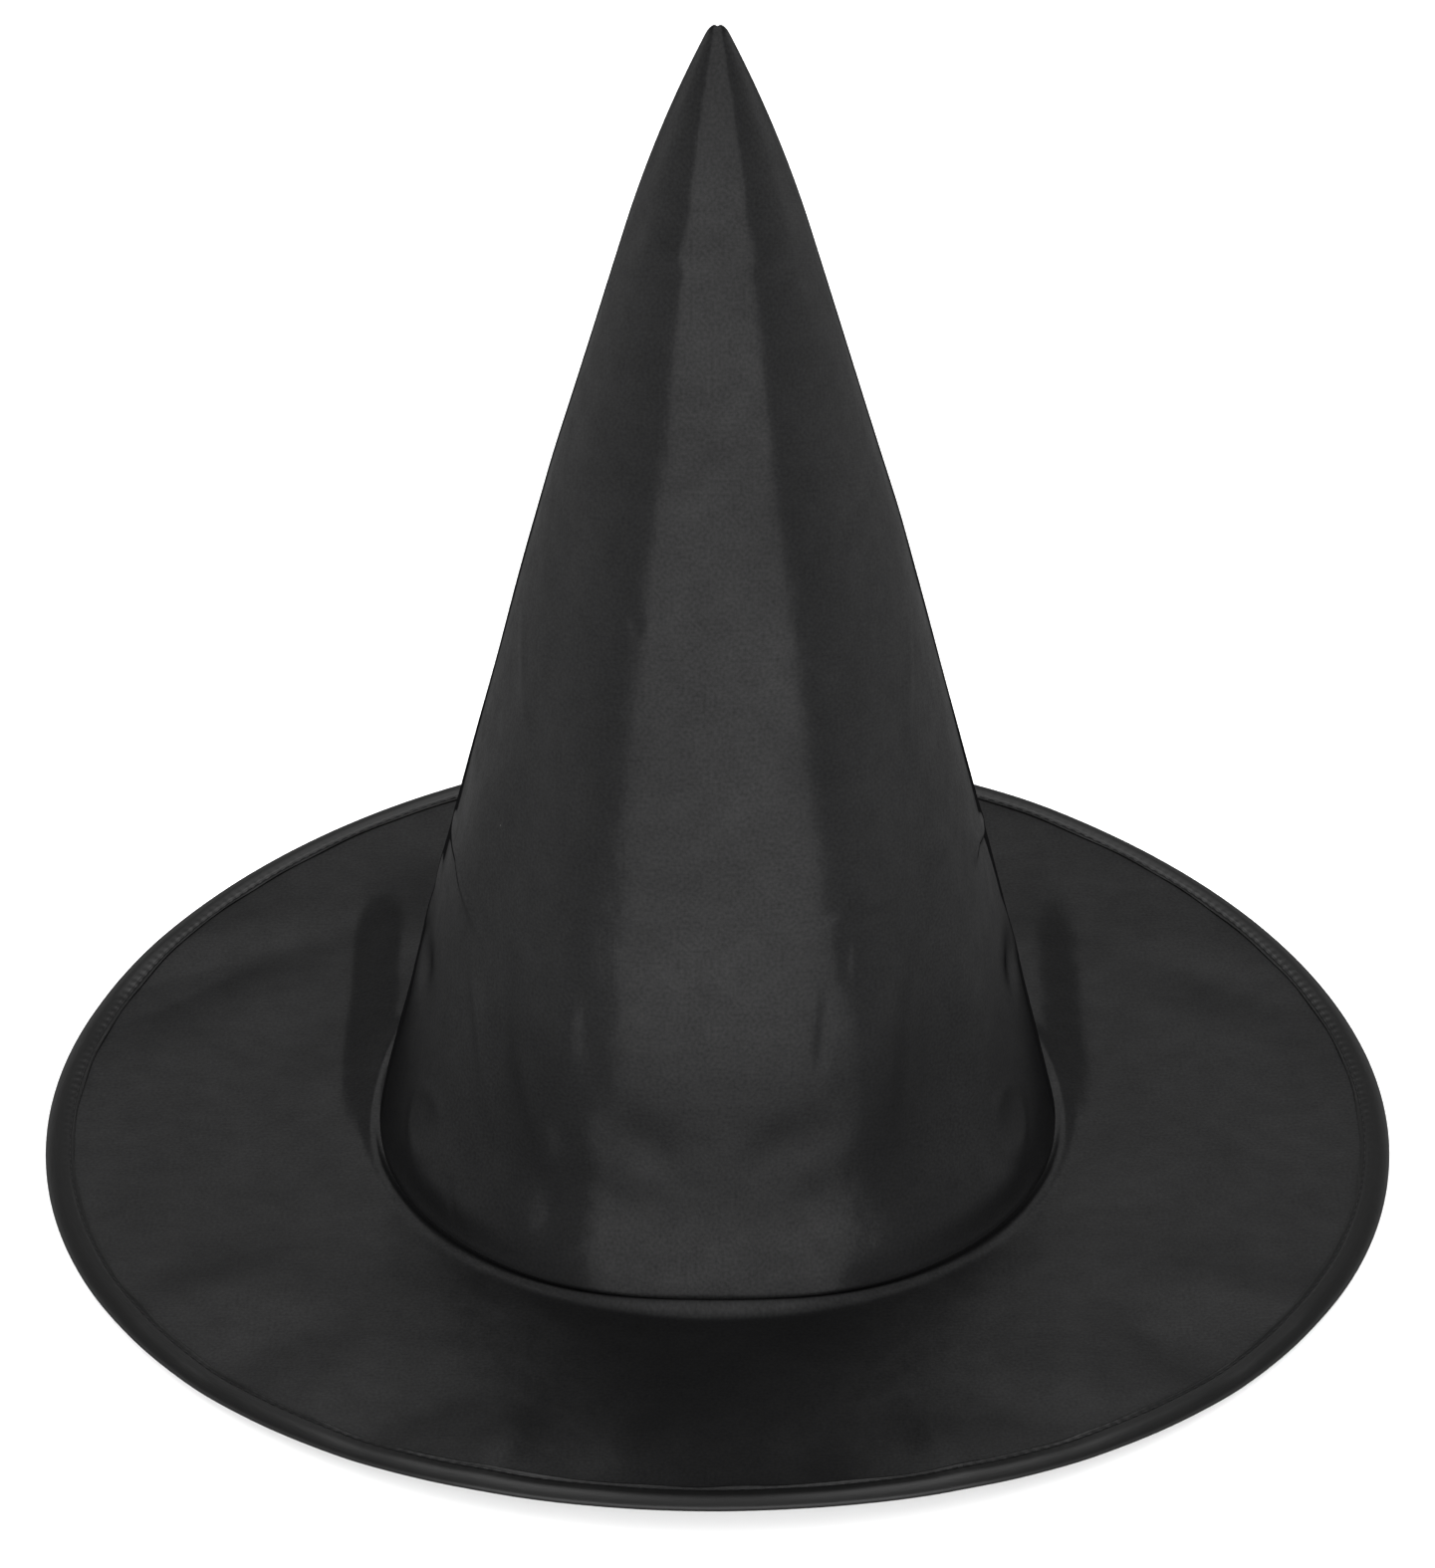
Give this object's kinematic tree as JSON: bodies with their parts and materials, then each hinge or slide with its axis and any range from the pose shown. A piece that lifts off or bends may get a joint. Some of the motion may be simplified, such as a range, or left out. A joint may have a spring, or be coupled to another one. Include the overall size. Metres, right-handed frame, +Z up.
{
  "type": "witch hat",
  "caption": "Tall pointed cone crown in stiffened black satin on a round, slightly bent brim with a bound edge; open underneath for a head.",
  "frame": {"origin": "on the surface that the hat stands on, below the middle of the brim", "axes": "+Z up through the crown's tip, -Y towards the front, +X to the wearer's left as the picture shows it on the right"},
  "size_m": [0.38, 0.38, 0.336],
  "materials": {
    "crown_satin": "satin woven polyester",
    "brim_satin": "satin woven polyester",
    "under_cloth": "satin woven polyester",
    "binding_tape": "matte fine twill",
    "interlining": "matte non-woven",
    "stiffener_felt": "matte felt",
    "seam_tape": "matte woven tape",
    "head_tape_weave": "ribbed woven tape",
    "label_satin": "white satin ribbon",
    "thread": "spun polyester thread",
    "hoop_steel": "drawn spring strip",
    "ferrule_steel": "crimped sheet"
  },
  "bodies": {
    "root": {"crown_shell": "crown_satin", "crown_interlining": "interlining", "crown_seam_tape": "seam_tape", "crown_seam_stitches": "thread", "brim_top_cloth": "brim_satin", "brim_stiffener": "stiffener_felt", "brim_under_cloth": "under_cloth", "brim_hoop": "hoop_steel", "hoop_ferrule": "ferrule_steel", "edge_binding": "binding_tape", "binding_top_stitches": "thread", "binding_under_stitches": "thread", "head_tape": "head_tape_weave", "base_seam_stitches": "thread", "tape_edge_stitches": "thread", "care_label": "label_satin"}
  },
  "joints": []
}
